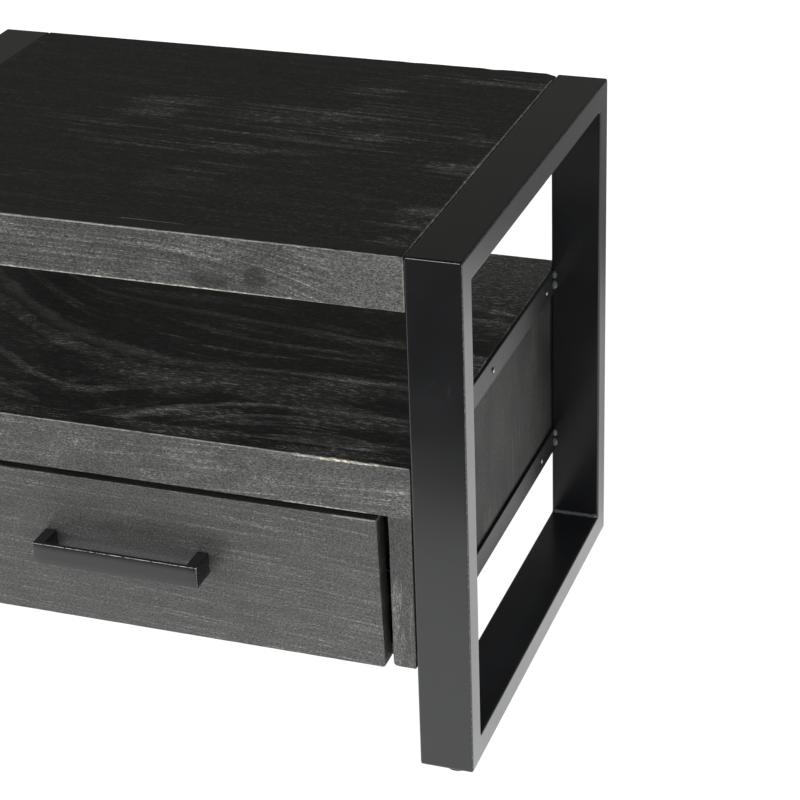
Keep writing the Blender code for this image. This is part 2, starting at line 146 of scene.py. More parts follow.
def wood_material(name, base, pale, ring=0.0, fine=2.0, fleck=(270, 820), tint=(1.0, 1.0, 0.95),
                  rough=0.50, specular=0.5):
    """Black-stained open-pored wood: irregular growth lines, pale dashes and rubbed patches.

    base and pale are the albedo of the stain and of what shows through it, fleck the fineness of
    the dashes along and across the grain, and ring the strength of wide flat-sawn rings.
    Attributes: "grain" is metres along, across and into the wood, "layers" counts growth layers,
    "edge" is millimetres from the nearest edge, "wear" is how worn that edge is, and on a few edges
    draws a pale line that is a painted highlight,
    "tone" makes the wood paler or darker, in places as painted shade and in one corner of the shelf
    as a painted sheen, and "rub" adds rubbed patches, or fades all lines below -0.2."""
    s = Shader(bpy.data.materials.new(name))
    place = s.attribute("grain", "Vector")
    layer, edge_mm, wear, tone, rub_here = map(
        s.attribute, ("layers", "edge", "wear", "tone", "rub"))

    drift = s.vector("SUBTRACT", s.noise(place, (9, 22, 22), 2.0, output="Color"), (0.5,) * 3)
    fibre = s.vector("ADD", place, s.vector("MULTIPLY", drift, (0.0, 0.012, 0.012)))
    along = s.mul(s.xyz(place)[0], 5.0)
    on_layer = s.node("CombineXYZ", {0: along, 1: s.mul(layer, fine)}).outputs[0]
    growth = s.noise(on_layer, 1.0, 3.0, 0.62)
    broad = s.smooth(s.noise(place, (7, 24, 24), 3.0, 0.6), 0.38, 0.64)
    clear = s.smooth(rub_here, -0.85, -0.20)
    line = s.mul(s.mul(s.smooth(growth, 0.53, 0.59), s.madd(broad, 0.60, 0.40)), clear)

    mottle = s.noise(place, (24, 70, 70), 3.0, 0.6)
    speck = s.noise(fibre, (fleck[0], fleck[1], fleck[1]), 1.5, 0.6)
    grit = s.noise(place, (520, 900, 900), 1.0, 0.5)
    contrast = s.madd(grit, 3.2, -0.6)
    dash = s.mul(s.smooth(speck, 0.51, 0.66), s.smooth(rub_here, -1.15, -0.75, 0.25, 1.0))
    pore = s.smooth(s.noise(fibre, (330, 1200, 1200), 0.0), 0.56, 0.70)
    patchy = s.madd(rub_here, 0.28, s.noise(place, (16, 48, 48), 4.0, 0.65))
    rubbed = s.smooth(patchy, 0.50, 0.74)

    stain = s.madd(pore, -0.35, s.mul(s.madd(mottle, 0.8, 0.35), contrast))
    stain = s.mul(s.math("MAXIMUM", stain, 0.12), base)

    bright = s.mul(s.madd(rubbed, 0.80, s.madd(line, 0.9, 0.20)), dash)
    bright = s.madd(rubbed, 0.22, s.madd(line, 0.42, bright))
    if ring:
        phase = s.math("FRACT", s.madd(s.noise(place, (14, 90, 90), 3.0, 0.6), 0.16, layer))
        crest = s.mul(s.smooth(phase, 0.86, 0.95), s.smooth(phase, 0.96, 1.0, 1.0, 0.0))
        flank = s.mul(s.smooth(phase, 0.25, 0.92), s.smooth(patchy, 0.36, 0.60))
        flank = s.mul(flank, s.madd(broad, 0.5, 0.5))
        rings = s.mul(crest, s.madd(broad, 0.40, 0.34))
        rings = s.madd(flank, s.madd(dash, 0.65, 0.13), rings)
        bright = s.madd(rings, s.mul(clear, ring), bright)
    bright = s.mul(bright, contrast)
    value = s.madd(bright, pale, stain)
    speckle = s.smooth(s.noise(place, 640, 1.0), 0.71, 0.79)
    value = s.madd(speckle, 0.9 * pale, value)
    value = s.mul(value, s.math("ADD", tone, 1.0))
    value = s.math("MAXIMUM", value, 0.004)

    reach = s.madd(s.smooth(wear, 0.7, 1.0), -0.7, edge_mm)
    reach = s.madd(s.smooth(wear, 1.1, 2.0), -0.9, reach)
    ragged = s.madd(s.noise(place, 430, 2.0), 1.9, reach)
    at_edge = s.smooth(ragged, 1.1, 1.9, 1.0, 0.0)
    spots = s.noise(place, (90, 560, 560), 3.0, 0.7)
    spots = s.madd(s.math("MINIMUM", wear, 1.0), 0.55, spots)
    worn = s.mul(at_edge, s.smooth(spots, 0.80, 1.08))
    bare = s.smooth(s.noise(place, (150, 300, 300), 3.0, 0.7), 0.47, 0.62)
    bare = s.mul(bare, s.smooth(wear, 1.0, 1.8))
    bare_wood = s.mix(bare, (0.22, 0.22, 0.205, 1), (0.72, 0.66, 0.50, 1))
    colour = s.mix(worn, s.grey(value, tint), bare_wood)

    gloss = s.madd(speck, 0.14, s.madd(mottle, 0.20, rough - 0.17))
    height = s.madd(pore, -0.6, s.madd(grit, 0.5, speck))
    return s.surface(colour, gloss, (height, 0.00030, 0.45), specular=specular)


def coated_steel_material(name, base, rough, wear_colour=(0.10, 0.10, 0.105, 1), bare=0.9):
    """Satin black coating with a faint orange peel, made paler and more metallic along marked
    edges: real wear on the handle, and a painted highlight along the end frames' outer edges.

    Attributes: "edge" is 1 on an edge and 0 on the flat, and "wear" is how far it is rubbed, which
    on the end frames sets the strength of the painted highlight."""
    s = Shader(bpy.data.materials.new(name))
    place = s.object_place()
    wear = s.attribute("wear")
    edge = s.attribute("edge")
    peel = s.noise(place, 700, 2.0, 0.5)
    drawn = s.noise(place, (130, 130, 9), 3.0, 0.6)
    cloud = s.noise(place, 22, 3.0, 0.55)
    value = s.mul(s.madd(cloud, 0.7, 0.65), base)
    value = s.madd(s.smooth(s.noise(place, 2600, 1.0), 0.66, 0.76), 0.006, value)
    scuff = s.smooth(s.noise(place, (55, 420, 35), 3.0, 0.7), 0.66, 0.74)
    value = s.madd(scuff, 0.006, value)
    spots = s.madd(s.noise(place, (260, 700, 700), 2.0, 0.6), 0.8, s.mul(wear, 0.45))
    worn = s.mul(s.smooth(spots, 0.56, 0.72), s.smooth(edge, 0.35, 0.8))
    worn = s.mul(worn, s.smooth(wear, 0.02, 0.3))
    # Painted reflection: upward faces near the floor are made paler, standing for the sky they
    # reflect.
    up = s.xyz(s.node("NewGeometry").outputs["Normal"])[2]
    low_down = s.smooth(s.xyz(place)[2], 0.05, 0.30, 0.016, 0.0)
    dust_and_sheen = s.mul(s.smooth(up, 0.6, 0.95), low_down)
    value = s.madd(dust_and_sheen, s.madd(cloud, 1.0, 0.5), value)
    colour = s.mix(worn, s.grey(value, (0.95, 1.0, 1.10)), wear_colour)
    gloss = s.madd(drawn, 0.05, s.madd(cloud, 0.10, rough - 0.075))
    height = s.madd(drawn, 0.6, peel)
    return s.surface(colour, gloss, (height, 0.00006, 0.35), metallic=s.mul(worn, bare))


def bare_metal_material(name, colour, rough, streak=(900, 40, 900)):
    """Zinc plate or rubbed black oxide: metallic, faintly clouded and drawn."""
    s = Shader(bpy.data.materials.new(name))
    place = s.object_place()
    cloud = s.noise(place, 120, 3.0, 0.6)
    drawn = s.noise(place, streak, 2.0, 0.6)
    grain = s.noise(place, 2400, 1.0)
    value = s.mul(s.madd(cloud, 0.5, 0.75), s.madd(drawn, 0.3, 0.85))
    gloss = s.madd(cloud, 0.16, rough - 0.08)
    height = s.math("ADD", drawn, grain)
    return s.surface(s.grey(value, colour), gloss, (height, 0.00004, 0.3), metallic=1.0)


def plastic_material(name, base):
    """Matt black plastic with a little dust."""
    s = Shader(bpy.data.materials.new(name))
    place = s.object_place()
    grain = s.noise(place, 1500, 2.0)
    dust_and_sheen = s.smooth(s.noise(place, 420, 3.0, 0.6), 0.55, 0.75)
    value = s.grey(s.madd(dust_and_sheen, 0.03, base))
    return s.surface(value, s.madd(grain, 0.15, 0.5), (grain, 0.00005, 0.4))


WOOD = wood_material("black_stained_wood", 0.050, 0.085)
# The top and the shelf are the same black stain with a much darker base: painted shade on their
# upward faces. Their pale dashes, lines and rubbed patches are their own.
WOOD_TOP = wood_material("black_stained_wood_top", 0.013, 0.200, fleck=(160, 520), specular=0.42)
WOOD_SHELF = wood_material("black_stained_wood_shelf", 0.013, 0.190, ring=1.0, fine=5.0,
                           fleck=(110, 480))
WOOD_EDGE = wood_material("black_stained_wood_edge", 0.050, 0.085, ring=0.8, fine=3.6)
WOOD_BOX = wood_material("drawer_box_wood", 0.050, 0.015, tint=(1.08, 1.0, 0.90), rough=0.62)
WOOD_PANEL = wood_material("black_stained_panel", 0.018, 0.034, tint=(1.05, 1.0, 0.92), rough=0.62,
                           specular=0.32)
# On the end frames this material's paler, more metallic worn colour draws a painted highlight along
# the outer edge.
STEEL = coated_steel_material("powder_coated_steel", 0.0058, 0.23, bare=0.3)
RAIL = coated_steel_material("powder_coated_rail", 0.0058, 0.40)
# Painted highlight: the weld metal is coloured far paler than the frame's coating, for the glints
# on the beads.
WELD = coated_steel_material("powder_coated_weld", 0.075, 0.22)
HANDLE = coated_steel_material("handle_steel", 0.004, 0.25, (0.34, 0.34, 0.34, 1), bare=0.15)
SLIDE = bare_metal_material("black_zinc_plate", (0.085, 0.085, 0.095), 0.34)
BALL = bare_metal_material("ball_steel", (0.55, 0.56, 0.58), 0.18, (400, 400, 400))
SCREW = bare_metal_material("screw_black_oxide", (0.42, 0.42, 0.43), 0.42, (700, 700, 700))
PLASTIC = plastic_material("glide_plastic", 0.022)


# ------ mesh helpers

def wobble(points, scale, seed=0.0):
    """Smooth noise from about -1 to 1 at each point, with scale cycles a metre."""
    shift = Vector((seed * 3.1, seed * 1.7, seed * 2.3))
    return np.array([noise.noise(Vector(p) * scale + shift) for p in points])


def new_mesh(name, verts, faces):
    mesh = bpy.data.meshes.new(name)
    mesh.from_pydata([tuple(v) for v in verts], [], [tuple(int(i) for i in f) for f in faces])
    return mesh


def new_object(name, data):
    made = bpy.data.objects.new(name, data)
    bpy.context.scene.collection.objects.link(made)
    return made


def add_piece(name, verts, faces, material, body, slot, stands_for, attributes=None):
    """A visible piece that rides on a body and stands for the named CAD nodes, if any."""
    mesh = new_mesh(name, verts, faces)
    mesh.validate()
    for key, values in (attributes or {}).items():
        values = np.asarray(values, np.float32)
        kind, field = ("FLOAT_VECTOR", "vector") if values.ndim == 2 else ("FLOAT", "value")
        mesh.attributes.new(key, kind, "POINT").data.foreach_set(field, values.ravel())
    mesh.shade_smooth()
    mesh.materials.append(material)
    piece = new_object(name, mesh)
    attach(piece, body)
    if stands_for:
        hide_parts(*stands_for)
    return piece


def to_bmesh(verts, faces):
    work = bmesh.new()
    points = [work.verts.new(v) for v in verts]
    for face in faces:
        work.faces.new([points[i] for i in face])
    return work


def from_bmesh(work):
    """Vertices and faces of a bmesh, which is freed."""
    work.verts.index_update()
    verts = np.array([v.co for v in work.verts])
    faces = [[v.index for v in f.verts] for f in work.faces]
    work.free()
    return verts, faces


def orient(verts, faces):
    """The same faces, all turned to face outwards."""
    work = to_bmesh(verts, faces)
    bmesh.ops.recalc_face_normals(work, faces=work.faces[:])
    return from_bmesh(work)[1]


def ring_faces(first, second, count):
    """Quads between two closed rings of vertices that start at the given numbers."""
    following = [(k + 1) % count for k in range(count)]
    return [(first + k, first + n, second + n, second + k) for k, n in enumerate(following)]


def grid_lines(low, high, ease, spacing):
    """Places of the grid lines along one axis: close together at both ends, then even."""
    near = [0, 0.3 * ease, 0.65 * ease, ease]
    margin = 2.6 * ease
    count = max(1, round((high - low - 2 * margin) / spacing))
    middle = np.linspace(low + margin, high - margin, count + 1)
    return np.array([low + s for s in near] + list(middle) + [high - s for s in near[::-1]])


def grid_shell(lines, solid=None):
    """Surface vertices and faces of a box of grid cells, or of its cells marked solid."""
    counts = [len(line) - 1 for line in lines]
    cells = np.ones(counts, bool) if solid is None else solid
    padded = np.zeros([n + 2 for n in counts], bool)
    padded[1:-1, 1:-1, 1:-1] = cells
    quads = []
    for axis in range(3):
        for step in (0, 1):
            inside = [slice(1, -1)] * 3
            beyond = [slice(1, -1)] * 3
            beyond[axis] = slice(2, None) if step else slice(0, -2)
            open_cells = np.argwhere(padded[tuple(inside)] & ~padded[tuple(beyond)])
            if not len(open_cells):
                continue
            base = open_cells.copy()
            base[:, axis] += step
            one, two = [a for a in range(3) if a != axis]
            corners = []
            for a, b in ((0, 0), (1, 0), (1, 1), (0, 1)):
                corner = base.copy()
                corner[:, one] += a
                corner[:, two] += b
                corners.append(corner)
            if (axis == 1) == bool(step):
                corners.reverse()
            quads.append(np.stack(corners, 1))
    quads = np.concatenate(quads)
    size = [n + 1 for n in counts]
    flat = quads[..., 0] * size[1] * size[2] + quads[..., 1] * size[2] + quads[..., 2]
    used, faces = np.unique(flat, return_inverse=True)
    index = np.stack(np.unravel_index(used, size), 1)
    verts = np.stack([lines[a][index[:, a]] for a in range(3)], 1)
    return verts, faces.reshape(-1, 4)


def grain_place(points, low, high, grain):
    """Metres along the fibres, across them and away from the pith, for each point."""
    size = np.array(high) - np.array(low)
    along = "xyz".index(grain)
    others = sorted((a for a in range(3) if a != along), key=lambda a: -size[a])
    centre = (np.array(low) + np.array(high)) / 2
    start = BOARD_SHIFT * PITH.randint(1, 9) + PITH.random()
    sideways = PITH.uniform(-0.7, 0.7) * size[others[0]]
    depth = PITH.uniform(0.02, 0.05)
    place = np.zeros((len(points), 3))
    place[:, 0] = points[:, along] + start
    place[:, 1] = points[:, others[0]] - centre[others[0]] + sideways
    place[:, 2] = points[:, others[1]] - centre[others[1]] + depth
    return place


def round_layers(place, step):
    """Growth layers as rings round a pith that wanders and leans along the board."""
    along = place[:, 0]
    bulge = wobble(np.stack([along * 3.2, place[:, 1] * 4, place[:, 2] * 4], 1), 1.0, 3.0)
    lean = PITH.uniform(-0.06, 0.06)
    across = place[:, 1] + lean * (along - along.mean()) + 0.010 * bulge
    return np.hypot(across, place[:, 2]) / step + 40


def blot_sum(verts, blots, seed, slope):
    """Sum of ragged elliptical patches (x, y, z, reach x, y, z, amount) at each vertex.

    A patch fades out over its whole reach if slope is 1, and nearer its rim if it is more."""
    total = np.zeros(len(verts))
    for x, y, z, rx, ry, rz, amount in blots:
        away = (((verts - np.array((x, y, z))) / np.array((rx, ry, rz))) ** 2).sum(1)
        ragged = away * (1 + 0.35 * wobble(verts, 120, seed))
        total += amount * np.clip((1.15 - ragged) * slope, 0, 1)
    return total


def at_points(amount, points):
    """A strength that is given as a number, or as a function of the points."""
    return amount(points) if callable(amount) else amount


def board(node, grain, material, body="table", slot="stained_wood", ease=0.0011,
          spacing=(0.006, 0.02, 0.02), wave=0.00012, wear=None, base_wear=0.25, sharp=(),
          crisp=None, grow=None, shape=None, nicks=(), tones=(), rubs=(), base_rub=0.0,
          base_tone=0.0, face_tones=None, layers=None, layer_step=0.0040):
    """A wooden board in its CAD node's box, with eased, slightly uneven and worn edges.

    wear gives the strength of wear on an edge named by its two faces, such as "y-z+"; on a few
    edges it draws a pale line that is a painted highlight. A face named in sharp keeps its edges
    sharp, for a glue joint, and so do the points that crisp picks. grow moves a face outwards,
    nicks are dents (x, y, z, reach, depth), and tones and rubs are patches for blot_sum. Some tone
    patches and face tones are painted shade, and one base tone is a painted sheen."""
    low, high = (np.array(corner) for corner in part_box(node))
    for face, amount in (grow or {}).items():
        axis = "xyz".index(face[0])
        if face[1] == "-":
            low[axis] -= amount
        else:
            high[axis] += amount
    lines = [grid_lines(low[a], high[a], ease, spacing[a]) for a in range(3)]
    verts, faces = grid_shell(lines)
    seed = len(bpy.data.objects) * 0.37
    gaps = np.stack([verts - low, high - verts], 2)
    to_face = {f"{'xyz'[a]}{'-+'[b]}": gaps[:, a, b] for a in range(3) for b in range(2)}

    radius = ease * np.clip(1 + 0.45 * wobble(verts, 70, seed), 0.5, 1.45)
    for face in sharp:
        radius = np.where(to_face[face] < 2.7 * ease, SHARP_RADIUS, radius)
    if crisp:
        radius = np.where(crisp(verts), SHARP_RADIUS, radius)
    radius = radius[:, None]
    core = np.clip(verts, low + radius, high - radius)
    out = verts - core
    length = np.linalg.norm(out, axis=1, keepdims=True)
    normal = out / np.maximum(length, 1e-9)
    rounded = core + normal * radius
    slack = wave * (0.5 + 0.5 * wobble(verts, 14, seed + 5))
    rounded -= normal * slack[:, None]
    for x, y, z, reach, depth in nicks:
        away = np.linalg.norm(verts - np.array((x, y, z)), axis=1) / reach
        rounded -= normal * (depth * np.clip(1 - away**2, 0, 1) ** 2)[:, None]

    names = list(to_face)
    distances = np.stack([to_face[n] for n in names], 1)
    order = np.argsort(distances, axis=1)
    edge = np.sort(distances, axis=1)[:, 1] * 1000
    strength = np.full(len(verts), float(base_wear))
    for key, amount in (wear or {}).items():
        pair = {names.index(key[:2]), names.index(key[2:])}
        hit = np.array([set(row[:2]) == pair for row in order])
        strength = np.where(hit, at_points(amount, verts), strength)
    place = grain_place(verts, low, high, grain)
    attributes = {
        "grain": place,
        "layers": layers(verts) if layers else round_layers(place, layer_step),
        "edge": np.minimum(edge, 5.0),
        "wear": strength,
        "tone": blot_sum(verts, tones, seed, 2.6) + at_points(base_tone, verts),
        "rub": blot_sum(verts, rubs, seed, 1.0) + at_points(base_rub, verts),
    }
    for face, amount in (face_tones or {}).items():
        attributes["tone"] = np.where(to_face[face] < 0.3 * ease, amount, attributes["tone"])
    if shape:
        rounded = shape(rounded)
    return add_piece(node + "_wood", rounded, faces, material, body, slot, [node], attributes)


def round_corner(points, axes, corner, inward, radius):
    """Rounds one corner of a board, seen along the third axis, to the given radius."""
    a, b = axes
    u = (points[:, a] - corner[0]) * inward[0] - radius
    w = (points[:, b] - corner[1]) * inward[1] - radius
    inside = (u < 0) & (w < 0)
    square, round_ = np.maximum(abs(u), abs(w)), np.maximum(np.hypot(u, w), 1e-9)
    scale = np.where(inside, square / round_, 1.0)
    moved = points.copy()
    moved[:, a] = corner[0] + inward[0] * (u * scale + radius)
    moved[:, b] = corner[1] + inward[1] * (w * scale + radius)
    return moved


def steel_attributes(count, edge=0.0, wear=0.0):
    return {"edge": np.zeros(count) + edge, "wear": np.zeros(count) + wear}


def eased_blocks(lines, solid, ease):
    """Vertices, faces and bend marks of a solid of grid cells with its sharp edges rounded."""
    work = to_bmesh(*grid_shell([np.array(line) for line in lines], solid))
    work.normal_update()
    creased = [e for e in work.edges if e.calc_face_angle(0) > 0.5]
    bmesh.ops.bevel(work, geom=creased, offset=ease, segments=3, profile=0.5,
                    affect="EDGES", clamp_overlap=True)
    bmesh.ops.recalc_face_normals(work, faces=work.faces[:])
    work.normal_update()
    bends = np.array([
        float(all(max(abs(c) for c in f.normal) < 0.999 for f in v.link_faces))
        for v in work.verts
    ])
    return *from_bmesh(work), bends


def strip(outline, thickness, start, end, steps):
    """A bent sheet: an open outline of (x, z) points, given a thickness and run along Y."""
    outline = np.array(outline, float)
    ahead = np.gradient(outline, axis=0)
    side = np.stack([-ahead[:, 1], ahead[:, 0]], 1)
    side /= np.linalg.norm(side, axis=1, keepdims=True)
    loop = np.concatenate([outline + side * thickness / 2, (outline - side * thickness / 2)[::-1]])
    verts, faces = [], []
    count = len(loop)
    for step in range(steps + 1):
        y = start + (end - start) * step / steps
        verts += [(x, y, z) for x, z in loop]
    for step in range(steps):
        faces += ring_faces(step * count, (step + 1) * count, count)
    for base in (0, steps * count):
        last = base + count - 1
        faces += [(base + k, base + k + 1, last - 1 - k, last - k) for k in range(len(outline) - 1)]
    return np.array(verts), orient(verts, faces)


def bent(points, radius, steps=4):
    """The same open outline with each inner corner turned into an arc."""
    points = [np.array(p, float) for p in points]
    made = [points[0]]
    for before, corner, after in zip(points, points[1:], points[2:]):
        back = (before - corner) / np.linalg.norm(before - corner)
        ahead = (after - corner) / np.linalg.norm(after - corner)
        half = math.acos(np.clip(back @ ahead, -1, 1)) / 2
        reach = radius / math.tan(half)
        middle = (back + ahead) / np.linalg.norm(back + ahead)
        centre = corner + middle * radius / math.sin(half)
        first, last = corner + back * reach - centre, corner + ahead * reach - centre
        for step in range(steps + 1):
            share = step / steps
            spoke = first * (1 - share) + last * share
            made.append(centre + spoke / np.linalg.norm(spoke) * radius)
    made.append(points[-1])
    return np.array(made)


def lathe(profile, sides):
    """Closed turned shell about Z from (radius, height) pairs whose ends are on the axis."""
    verts, faces, rings = [], [], []
    for radius, height in profile:
        if radius <= 1e-7:
            rings.append([len(verts)] * sides)
            verts.append((0.0, 0.0, height))
            continue
        rings.append(list(range(len(verts), len(verts) + sides)))
        for k in range(sides):
            turn = 2 * math.pi * k / sides
            verts.append((radius * math.cos(turn), radius * math.sin(turn), height))
    for a, b in zip(rings, rings[1:]):
        for k in range(sides):
            quad = [a[k], a[(k + 1) % sides], b[(k + 1) % sides], b[k]]
            quad = [v for n, v in enumerate(quad) if v not in quad[:n]]
            if len(quad) > 2:
                faces.append(quad)
    return np.array(verts), faces


def bend_point(start, step, steps, radius, margin):
    """A point of a quarter turn, from its centre; the margin leads straight on at both ends."""
    turn = math.radians(start + 90 * min(max(step, 0), steps) / steps)
    beyond = {-1: margin, steps + 1: -margin}.get(step, 0.0)
    return (radius * math.cos(turn) + beyond * math.sin(turn),
            radius * math.sin(turn) - beyond * math.cos(turn))


def round_profile(width, height, radius, steps=5, margin=0.0008):
    """Outline of a rounded rectangle from the origin, with an extra point beside each bend."""
    points = []
    corners = ((width - radius, radius, -90), (width - radius, height - radius, 0),
               (radius, height - radius, 90), (radius, radius, 180))
    for cx, cy, start in corners:
        for step in range(-1, steps + 2):
            u, w = bend_point(start, step, steps, radius, margin)
            points.append((cx + u, cy + w))
    return points


# ------ welded end frames

TUBE_CORNER = 0.0019     # radius of the end frame's edges and of its ground outer corners
BEND_MARGIN = 0.0015     # from a ground corner to the next ring of points
PROFILE_CORNER = 8       # points that round_profile gives each corner


def end_frame(side, sign):
    """One loop of 50 x 25 box section, its outer corners ground after welding."""
    names = [f"{n}_{side}" for n in ("front_post", "back_post", "top_bar", "bottom_bar")]
    boxes = [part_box(n) for n in names]
    low = [min(b[0][a] for b in boxes) for a in range(3)]
    high = [max(b[1][a] for b in boxes) for a in range(3)]
    depth = boxes[0][1][1] - boxes[0][0][1]
    section = round_profile(high[0] - low[0], depth, TUBE_CORNER)
    turns = ((low[1], low[2], 1, 1, 180), (high[1], low[2], -1, 1, 270),
             (high[1], high[2], -1, -1, 0), (low[1], high[2], 1, -1, 90))
    steps = 4
    verts = []
    for y, z, sign_y, sign_z, start in turns:
        for step in range(-1, steps + 2):
            for across, inward in section:
                bend = TUBE_CORNER + 0.0004 * (inward / depth)
                u, w = bend_point(start, step, steps, bend, BEND_MARGIN)
                verts.append((low[0] + across, y + sign_y * (inward + bend) + u,
                              z + sign_z * (inward + bend) + w))
    count = len(section)
    total = len(verts) // count
    faces = []
    for ring in range(total):
        faces += ring_faces(ring * count, (ring + 1) % total * count, count)
    # Painted highlight: the points along the frame's outer edge are marked rubbed, for a paler,
    # more metallic line.
    outer = 0 if sign > 0 else count - PROFILE_CORNER
    rubbed = np.array([float(k - outer in (3, 4)) for k in range(count)] * total)
    add_piece(f"end_frame_{side}", verts, orient(verts, faces), STEEL, "table", "frame_steel",
              names, steel_attributes(len(verts), rubbed, 0.5 * rubbed))


def weld_bead(name, start, end, radius, seed):
    """A run of weld metal with overlapping ripples, sunk by half into the corner it fills."""
    start, end = Vector(start), Vector(end)
    run = end - start
    along = run.normalized()
    across = along.orthogonal().normalized()
    third = along.cross(across)
    sides = 14
    count = max(14, round(run.length / 0.0006))
    verts = [tuple(start)]
    for step in range(1, count):
        t = step / count
        from_end = min(t, 1 - t) * run.length / (1.3 * radius)
        cap = math.sin(min(1.0, from_end) * math.pi / 2) ** 0.6
        ripple = 1 + 0.11 * math.sin(2 * math.pi * t * run.length / 0.0021)
        swell = 1 + 0.30 * noise.noise(Vector((t * run.length * 230, seed, 0)))
        size = radius * cap * ripple * swell
        drift = across * (0.25 * radius * noise.noise(Vector((t * run.length * 160, seed + 9, 0))))
        for k in range(sides):
            turn = 2 * math.pi * k / sides
            spoke = across * math.cos(turn) + third * math.sin(turn)
            place = start + run * t + drift
            lump = 1 + 0.16 * noise.noise(place * 420 + spoke)
            verts.append(tuple(place + spoke * size * lump))
    verts.append(tuple(end))
    last = len(verts) - 1
    top = last - sides
    faces = []
    for k in range(sides):
        n = (k + 1) % sides
        faces += [(0, 1 + n, 1 + k), (top + k, top + n, last)]
    for step in range(count - 2):
        faces += ring_faces(1 + step * sides, 1 + (step + 1) * sides, sides)
    add_piece(name, verts, orient(verts, faces), WELD, "table", "frame_steel", None,
              steel_attributes(len(verts)))


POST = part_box("front_post_right")
FRONT = POST[0].y
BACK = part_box("back_post_right")[1].y
TUBE = POST[1].y - POST[0].y
INNER_CORNERS = [(f"{end}_{level}", y, z)
                 for level, z in (("top", POST[1].z - TUBE), ("bottom", POST[0].z + TUBE))
                 for end, y in (("front", FRONT + TUBE), ("back", BACK - TUBE))]

for side, sign in SIDES:
    end_frame(side, sign)
    inner = sign * POST[0].x
    outer = sign * POST[1].x
    for number, (place, y, z) in enumerate(INNER_CORNERS):
        weld_bead(f"weld_{place}_{side}", (inner + sign * 0.002, y, z),
                  (outer - sign * 0.0015, y, z), 0.0023, 11.3 * number + sign)
        weld_bead(f"weld_{place}_end_{side}", (outer - sign * 0.008, y, z),
                  (outer - sign * 0.0005, y, z), 0.0030, 5.1 * number + sign)
    for row in ("shelf_rail", "angle_rail", "top_rail"):
        low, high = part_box(f"{row}_{side}")
        x = high.x if sign > 0 else low.x
        for number, (place, y) in enumerate((("front", low.y), ("back", high.y))):
            seed = 3.7 * number + 17 * high.z + sign
            x_bead = x + sign * 0.0012
            for part, bottom, top, radius in (
                    ("low", low.z + 0.006, high.z - 0.0085, 0.0036),
                    ("high", high.z - 0.0075, high.z + 0.0015, 0.0030)):
                weld_bead(f"weld_{row}_{place}_{part}_{side}", (x_bead, y, bottom),
                          (x_bead, y, top), radius, seed)

for node, thing in frame["nodes"].items():
    if "_rail_" in node and "front" not in node:
        for place in thing.material_slots:
            place.material = RAIL


# ------ glides, screws

# Outline of a floor glide: shares of its radius and of its height.
GLIDE = ((0, 0), (0.80, 0), (0.90, 0.05), (0.97, 0.18), (1, 0.34), (1, 0.60), (0.96, 0.66),
         (0.96, 0.72), (1, 0.78), (1, 0.94), (0.99, 1), (0, 1))


def glide(node):
    """A turned disc with a groove around it, where the CAD glide is."""
    low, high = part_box(node)
    centre = (low + high) / 2
    radius = (high.x - low.x) / 2
    height = high.z - low.z
    verts, faces = lathe([(r * radius, low.z + h * height) for r, h in GLIDE], 36)
    verts[:, 0] += centre.x
    verts[:, 1] += centre.y
    piece = add_piece(node + "_disc", verts, orient(verts, faces), PLASTIC, "table",
                      "glide_plastic", [node])
    piece.data.set_sharp_from_angle(angle=math.radians(40))


HEAD_HEIGHT = 0.6        # of a screw head of radius 1


def screw_head():
    """A domed head with a cross recess, seated at the origin and facing +Z; its radius is 1."""
    profile = [(0, -0.5), (0.55, -0.5), (0.55, -0.02), (0.97, 0.0), (1.0, 0.06), (1.0, 0.20)]
    for step in range(1, 7):
        turn = math.radians(15 * step)
        across = 0.12 + 0.88 * math.cos(turn) if step < 6 else 0.0
        profile.append((across, HEAD_HEIGHT - 0.40 + 0.40 * math.sin(turn)))
    verts, faces = lathe(profile, 40)
    head = new_object("head", new_mesh("head", verts, orient(verts, faces)))
    work = bmesh.new()
    for turn in (0, 90):
        made = bmesh.ops.create_cube(work, size=1.0)["verts"]
        for v in made:
            narrow = 0.7 if v.co.z < 0 else 1.0
            v.co = Vector((v.co.x * 1.16 * narrow, v.co.y * 0.20, v.co.z * 0.9 + 0.62))
        bmesh.ops.rotate(work, verts=made, matrix=Matrix.Rotation(math.radians(turn), 3, "Z"))
    cutter = new_object("cross", new_mesh("cross", *from_bmesh(work)))
    cut = head.modifiers.new("cross", "BOOLEAN")
    cut.operation, cut.solver, cut.object = "DIFFERENCE", "EXACT", cutter
    cut.use_self = True
    graph = bpy.context.evaluated_depsgraph_get()
    result = bpy.data.meshes.new_from_object(head.evaluated_get(graph))
    bpy.data.objects.remove(head)
    bpy.data.objects.remove(cutter)
    points = np.array([v.co for v in result.vertices])
    return points, [list(f.vertices) for f in result.polygons]


HEAD = screw_head()


def screw(node, axis, turn, body="table"):
    """A screw head where the CAD screw's head is, with its cross turned by an angle."""
    low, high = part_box(node)
    out = Vector(axis)
    k = 0 if abs(out.x) > 0.5 else 1
    radius = (high[1 - k] - low[1 - k]) / 2
    seat = (low + high) / 2
    tip = high[k] if out[k] > 0 else low[k]
    seat[k] = tip - out[k] * HEAD_HEIGHT * radius
    turned = Matrix.Rotation(math.radians(turn), 4, "Z")
    place = Matrix.Translation(seat) @ out.to_track_quat("Z", "Y").to_matrix().to_4x4() @ turned
    verts = [tuple(place @ (Vector(v) * radius)) for v in HEAD[0]]
    piece = add_piece(node + "_head", verts, HEAD[1], SCREW, body, "screw_steel", [node])
    piece.data.set_sharp_from_angle(angle=math.radians(35))


